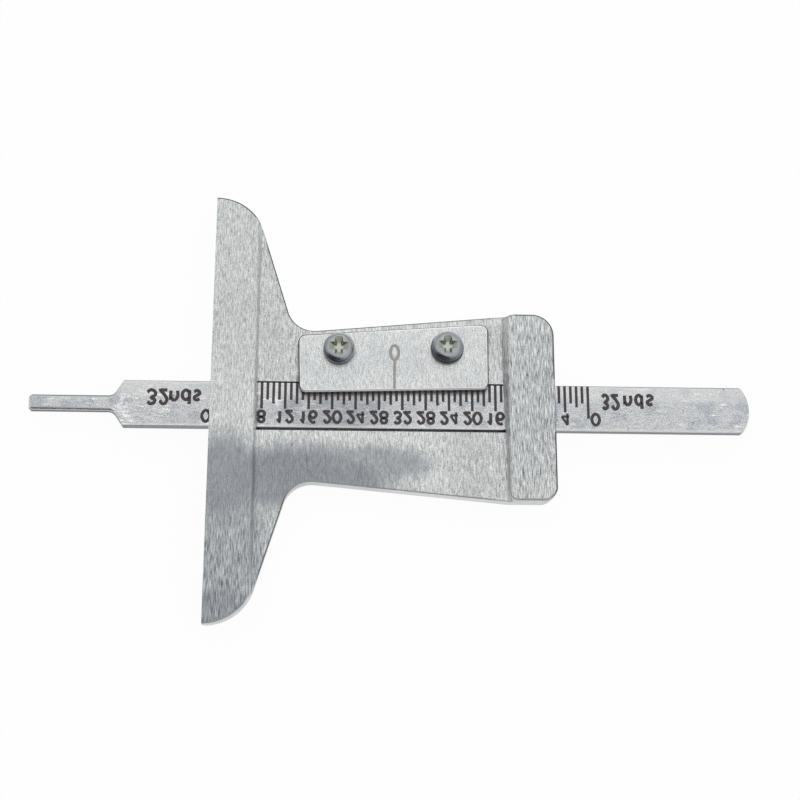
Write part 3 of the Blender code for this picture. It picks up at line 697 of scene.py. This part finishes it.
panScrew = {
    "headDiameter": 4.2,  # mm
    "headHeight": 1.5,
    "rimHeight": 0.55,
    "flatDiameter": 1.8,
    "shankDiameter": 2.2,
    "shankLength": 3.6,
    "tipChamfer": 0.3,
    "seatChamfer": 0.06,
    "roundSteps": 96,
    "domeSteps": 14,
    "recessSpan": 2.85,
    "recessArm": 1.05,
    "recessDepth": 0.9,
    "recessFloor": 0.45,  # its size at the bottom, as a share
    "recessCorner": 0.22,
    "edgeRadius": 0.06,
    "zincColour": "#a3a7ab",
    # the colour of the painted shade on the dome
    "domeShadeColour": "#4a4858",
    "domeShadeSide": (-0.45, -0.75, -0.50),  # painted shade: the dome and its rim darken where they face this way
    "recessColour": "#b9beb0",
    "paleRecessColour": "#dfe1d6",
    # the darker colour of the steep sides of the arms
    "steepWallColour": "#5c6158",
    "roughness": 0.24,
    "speckSize": 0.20,
    "cloudSize": 1.1,
    "toneWeights": (0.35, 0.50),  # of the specks and the clouds
    "recessSpeck": 0.25,
    "recessMetal": 0.6,
    "recessRoughness": 0.5,
}


def zincPlatedSteel(look):  # smooth and cool, with faint clouds in the plating
    material, tree, place = startMaterial("zincPlatedSteel")
    speck = brokenMarks(tree, place, look["speckSize"], detail=3.0)
    cloud = brokenMarks(tree, place, look["cloudSize"])
    tone = weighedSum(tree, (speck, cloud), look["toneWeights"])
    # Painted shade: the dome darkens where its surface faces the given side, most at the rim.
    lean = addNode(tree, "VectorMath", {
        0: place.outputs["Normal"], 1: look["domeShadeSide"],
    }, operation="DOT_PRODUCT")
    domeShade = addNode(tree, "MapRange", {"Value": lean, "From Min": -0.20, "From Max": 0.75}, **softEnds)
    colour = addNode(tree, "Mix", {
        0: domeShade, 6: linearColour(look["zincColour"]), 7: linearColour(look["domeShadeColour"]),
    }, **twoColours)
    colour = addNode(tree, "VectorMath", {0: colour, "Scale": tone}, operation="SCALE")
    rough = addNode(tree, "Math", {0: tone, 1: 0.2, 2: look["roughness"] - 0.2}, operation="MULTIPLY_ADD")
    relief = addNode(tree, "Bump", {"Height": speck, "Strength": 0.25, "Distance": 0.02 * mm})
    closeMaterial(tree, {"Base Color": colour, "Roughness": rough, "Metallic": 1.0, "Normal": relief})
    return material


def passivatedRecess(look):  # the dried passivation leaves a pale greenish film in the cross
    material, tree, place = startMaterial("passivatedZinc")
    speck = brokenMarks(tree, place, look["recessSpeck"], detail=3.0)
    colour = addNode(tree, "Mix", {
        0: speck, 6: linearColour(look["recessColour"]), 7: linearColour(look["paleRecessColour"]),
    }, **twoColours)
    level = facing(tree, place)[0]
    wall = addNode(tree, "MapRange", {  # the steep sides of the arms are darker
        "Value": level, "From Min": 0.60, "From Max": 0.35, "To Max": 0.8,
    }, **softEnds)
    colour = addNode(tree, "Mix", {0: wall, 6: colour, 7: linearColour(look["steepWallColour"])}, **twoColours)
    closeMaterial(tree, {
        "Base Color": colour, "Metallic": look["recessMetal"], "Roughness": look["recessRoughness"],
    })
    return material


def crossCutter(look):  # a cross-shaped block with rounded corners that narrows towards the floor
    bm = bmesh.new()
    bmesh.ops.create_grid(bm, x_segments=3, y_segments=3, size=1.5)
    corners = [f for f in bm.faces if all(abs(c) > 0.6 for c in f.calc_center_median().xy)]
    bmesh.ops.delete(bm, geom=corners, context="FACES")
    for vert in bm.verts:
        for i in range(2):
            size = look["recessSpan"] if abs(vert.co[i]) > 1 else look["recessArm"]
            vert.co[i] = math.copysign(size / 2, vert.co[i])
    bmesh.ops.dissolve_faces(bm, faces=bm.faces[:])
    bmesh.ops.bevel(bm, geom=bm.verts[:], affect="VERTICES", offset=look["recessCorner"], segments=4,
                    profile=0.5, material=-1)
    above = 0.3
    raised = bmesh.ops.extrude_face_region(bm, geom=bm.faces[:])
    top = [part for part in raised["geom"] if isinstance(part, bmesh.types.BMVert)]
    low = [v for v in bm.verts if v not in set(top)]
    wide = 1.0 + (1.0 - look["recessFloor"]) * above / look["recessDepth"]
    bmesh.ops.scale(bm, verts=top, vec=(wide, wide, 1.0))
    bmesh.ops.scale(bm, verts=low, vec=(look["recessFloor"], look["recessFloor"], 1.0))
    bmesh.ops.translate(bm, verts=top, vec=(0.0, 0.0, above))
    bmesh.ops.translate(bm, verts=low, vec=(0.0, 0.0, -look["recessDepth"]))
    bmesh.ops.recalc_face_normals(bm, faces=bm.faces)
    return bm


def makeScrew(side, look, zinc, recess):
    low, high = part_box("plate_screw_" + side)
    centre = (low + high) / 2
    headBottom = high.z - look["headHeight"] * mm
    bm = bmesh.new()
    shank, head, flat = (look[name] / 2 for name in ("shankDiameter", "headDiameter", "flatDiameter"))
    tip, chamfer, seat = -look["shankLength"], look["tipChamfer"], look["seatChamfer"]
    outline = [(0.0, tip), (shank - chamfer, tip), (shank, tip + chamfer)]
    outline += [(shank, 0.0), (head - seat, 0.0), (head, seat)]
    for i in range(look["domeSteps"] + 1):
        turn = math.radians(90.0 * i / look["domeSteps"])
        rise = look["rimHeight"] + (look["headHeight"] - look["rimHeight"]) * math.sin(turn)
        outline.append((flat + (head - flat) * math.cos(turn), rise))
    outline.append((0.0, look["headHeight"]))
    verts = [bm.verts.new((r, 0.0, z)) for r, z in outline]
    edges = [bm.edges.new(pair) for pair in zip(verts, verts[1:])]
    bmesh.ops.spin(bm, geom=verts + edges, cent=(0, 0, 0), axis=(0, 0, 1), angle=math.tau,
                   steps=look["roundSteps"], use_merge=True, use_duplicate=False)
    bmesh.ops.remove_doubles(bm, verts=bm.verts, dist=0.001)
    bmesh.ops.recalc_face_normals(bm, faces=bm.faces)
    bmesh.ops.scale(bm, verts=bm.verts, vec=(mm, mm, mm))
    bmesh.ops.translate(bm, verts=bm.verts, vec=(centre.x, centre.y, headBottom))

    cutter = crossCutter(look)
    bmesh.ops.scale(cutter, verts=cutter.verts, vec=(mm, mm, mm))
    bmesh.ops.translate(cutter, verts=cutter.verts, vec=(centre.x, centre.y, high.z))
    cutMesh = bpy.data.meshes.new("crossCutter")
    cutter.to_mesh(cutMesh)
    cutter.free()
    cutMesh.materials.append(recess)
    cross = bpy.data.objects.new("crossCutter", cutMesh)
    bpy.context.scene.collection.objects.link(cross)

    piece = finishPiece("pan_screw_" + side, bm, "base", zinc, ["plate_screw_" + side])
    cut = piece.modifiers.new("recess", "BOOLEAN")
    cut.operation = "DIFFERENCE"
    cut.solver = "EXACT"
    cut.material_mode = "TRANSFER"
    cut.object = cross
    graph = bpy.context.evaluated_depsgraph_get()
    piece.data = bpy.data.meshes.new_from_object(piece.evaluated_get(graph))
    piece.modifiers.clear()
    piece.data.set_sharp_from_angle(angle=math.radians(35.0))
    bpy.data.objects.remove(cross)
    breakEdges(piece, look["edgeRadius"] * mm, 3)


zinc = zincPlatedSteel(panScrew)
recess = passivatedRecess(panScrew)
for side in ("left", "right"):
    makeScrew(side, panScrew, zinc, recess)
print("screws done")


# Washers: split spring washers in dark zinc-plated steel, one turn with its ends slightly apart.

splitWasher = {
    "outer": {"left": 4.25, "right": 4.5},  # mm
    "inner": 2.4,
    "thickness": 0.5,
    "gapAngle": 12.0,  # degrees
    "splitAt": 38.0,
    "steps": 90,
    "edgeRadius": 0.06,
    "steelColour": "#5f6468",
    "roughness": 0.36,
    "speckSize": 0.2,
    "speckWeight": 0.7,
}


def platedSpringSteel(look):  # duller than the heads, with a fine rolled grain
    material, tree, place = startMaterial("platedSpringSteel")
    speck = brokenMarks(tree, place, look["speckSize"], detail=3.0)
    tone = weighedSum(tree, (speck,), (look["speckWeight"],))
    steel = linearColour(look["steelColour"])[:3]
    colour = addNode(tree, "VectorMath", {0: steel, "Scale": tone}, operation="SCALE")
    relief = addNode(tree, "Bump", {"Height": speck, "Strength": 0.3, "Distance": 0.02 * mm})
    closeMaterial(tree, {
        "Base Color": colour, "Metallic": 1.0, "Roughness": look["roughness"], "Normal": relief,
    })
    return material


def makeWasher(side, look, steel):
    low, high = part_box("spring_washer_" + side)
    screwLow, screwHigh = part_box("plate_screw_" + side)
    centre = (screwLow + screwHigh) / 2
    bm = bmesh.new()
    made = bmesh.ops.create_grid(bm, x_segments=1, y_segments=1, size=0.5)
    outer = look["outer"][side]
    width = (outer - look["inner"]) / 2
    bmesh.ops.scale(bm, verts=made["verts"], vec=(width * mm, look["thickness"] * mm, 1.0))
    bmesh.ops.rotate(bm, verts=made["verts"], matrix=Matrix.Rotation(math.radians(90.0), 3, "X"))
    reach = (outer + look["inner"]) / 4
    bmesh.ops.translate(bm, verts=made["verts"], vec=(reach * mm, 0.0, (low.z + high.z) / 2))
    bmesh.ops.rotate(bm, verts=made["verts"], matrix=Matrix.Rotation(math.radians(look["splitAt"]), 3, "Z"))
    bmesh.ops.spin(bm, geom=bm.faces[:], cent=(0, 0, 0), axis=(0, 0, 1), use_duplicate=False,
                   angle=math.radians(360.0 - look["gapAngle"]), steps=look["steps"])
    bmesh.ops.remove_doubles(bm, verts=bm.verts, dist=0.001 * mm)
    bmesh.ops.translate(bm, verts=bm.verts, vec=(centre.x, centre.y, 0.0))
    bmesh.ops.recalc_face_normals(bm, faces=bm.faces)
    piece = finishPiece("split_washer_" + side, bm, "base", steel, ["spring_washer_" + side])
    breakEdges(piece, look["edgeRadius"] * mm)


washerSteel = platedSpringSteel(splitWasher)
for side in ("left", "right"):
    makeWasher(side, splitWasher, washerSteel)
print("washers done")


# Friction spring: a tempered blue-grey leaf in its pocket under the rule.

frictionSpring = {
    "edgeRadius": 0.03,  # mm
    "steelColour": "#6f757d",
    "roughness": 0.30,
    "fineStreak": (0.10, 3.0),  # mm; drawn wider than the real lines so that they show
    "streakWeight": 0.5,
}


def temperedLeafSteel(look):  # fine rolling lines along the leaf
    material, tree, place = startMaterial("temperedLeafSteel")
    fine = brokenMarks(tree, place, *look["fineStreak"], turned=90.0)
    tone = weighedSum(tree, (fine,), (look["streakWeight"],))
    steel = linearColour(look["steelColour"])[:3]
    colour = addNode(tree, "VectorMath", {0: steel, "Scale": tone}, operation="SCALE")
    closeMaterial(tree, {"Base Color": colour, "Metallic": 1.0, "Roughness": look["roughness"]})
    return material


def makeFrictionSpring(look):
    steel = temperedLeafSteel(look)
    piece = finishPiece("leaf_spring", mergedCopy("friction_spring"), "base", steel, ["friction_spring"])
    breakEdges(piece, look["edgeRadius"] * mm)


makeFrictionSpring(frictionSpring)
print("friction spring done")


# Floor, light and camera

studio = {
    "floorReach": 40.0,  # m
    "floorColour": "#ffffff",
    "shadowShare": 0.06,  # how much of the floor's own light and shade is seen
    "zenithColour": "#ffffff",
    "horizonColour": "#c9cacc",
    "darkColour": "#3a3a42",  # the dark side of the room, low behind the camera and to its left
    "darkSide": (-0.42, -0.90, 0.05),
    "worldStrength": 1.03,
    "lampSize": 0.40,  # m
    "lampPlace": (0.02, 0.54, 0.40),
    "lampPower": 0.15,  # W
}


def makeFloor(look):
    bm = bmesh.new()
    bmesh.ops.create_grid(bm, x_segments=1, y_segments=1, size=look["floorReach"])
    mesh = bpy.data.meshes.new("floor")
    bm.to_mesh(mesh)
    bm.free()
    floor = bpy.data.objects.new("floor", mesh)
    bpy.context.scene.collection.objects.link(floor)
    floor.data.transform(Matrix.Translation((0.0, 0.0, -0.0001)))
    material, tree, place = startMaterial("palePaper")
    paper = addNode(tree, "BsdfDiffuse", {"Color": linearColour(look["floorColour"])})
    glow = addNode(tree, "Emission", {"Color": (1.0, 1.0, 1.0, 1.0), "Strength": 1.0})
    path = addNode(tree, "LightPath")
    seen = 0.0
    for ray in ("Is Camera Ray", "Is Glossy Ray", "Is Transmission Ray"):
        seen = addNode(tree, "Math", {0: seen, 1: path.outputs[ray]}, operation="MAXIMUM")
    share = addNode(tree, "Math", {0: seen, 1: 1.0 - look["shadowShare"]}, operation="MULTIPLY")
    both = addNode(tree, "MixShader", {0: share, 1: paper, 2: glow})
    addNode(tree, "OutputMaterial", {"Surface": both})
    mesh.materials.append(material)


def makeLight(look):
    world = bpy.data.worlds.new("studio")
    bpy.context.scene.world = world
    world.use_nodes = True
    tree = world.node_tree
    tree.nodes.clear()
    place = addNode(tree, "TexCoord")
    parts = addNode(tree, "SeparateXYZ", {"Vector": place.outputs["Generated"]})
    rise = addNode(tree, "MapRange", {"Value": parts.outputs["Z"], "From Min": 0.05, "From Max": 0.85}, **softEnds)
    tone = addNode(tree, "Mix", {
        0: rise, 6: linearColour(look["horizonColour"]), 7: linearColour(look["zenithColour"]),
    }, **twoColours)
    lean = addNode(tree, "VectorMath", {
        0: place.outputs["Generated"], 1: look["darkSide"],
    }, operation="DOT_PRODUCT")
    behind = addNode(tree, "MapRange", {"Value": lean, "From Min": 0.50, "From Max": 0.88}, **softEnds)
    tone = addNode(tree, "Mix", {0: behind, 6: tone, 7: linearColour(look["darkColour"])}, **twoColours)
    sky = addNode(tree, "Background", {"Color": tone, "Strength": look["worldStrength"]})
    addNode(tree, "OutputWorld", {"Surface": sky})

    lamp = bpy.data.lights.new("softbox", "AREA")
    lamp.shape = "SQUARE"
    lamp.size = look["lampSize"]
    lamp.energy = look["lampPower"]
    holder = bpy.data.objects.new("softbox", lamp)
    bpy.context.scene.collection.objects.link(holder)
    holder.location = look["lampPlace"]
    holder.rotation_euler = (-Vector(look["lampPlace"])).to_track_quat("-Z", "Y").to_euler()


view = {
    "lens": 63.0,  # mm
    "sensor": 36.0,
    "offCentre": (0.87, 1.67),  # mm
    "distance": 193.11,  # mm
    "tilt": 15.38,  # degrees
    "roll": 2.46,
    "turn": 0.09,
}


def makeCamera(look):
    camera = bpy.data.cameras.new("camera")
    camera.lens = look["lens"]
    camera.sensor_width = look["sensor"]
    camera.clip_start = 0.01
    camera.clip_end = 100.0
    holder = bpy.data.objects.new("camera", camera)
    bpy.context.scene.collection.objects.link(holder)
    turned = (
        Matrix.Rotation(math.radians(-look["roll"]), 4, "Y")
        @ Matrix.Rotation(math.radians(look["tilt"]), 4, "X")
        @ Matrix.Rotation(math.radians(look["turn"]), 4, "Z")
    )
    spot = Vector((look["offCentre"][0], look["offCentre"][1], look["distance"])) * mm
    holder.matrix_world = turned @ Matrix.Translation(spot)
    bpy.context.scene.camera = holder


makeFloor(studio)
makeLight(studio)
makeCamera(view)
bpy.context.scene.view_settings.view_transform = "Standard"
print("studio done")
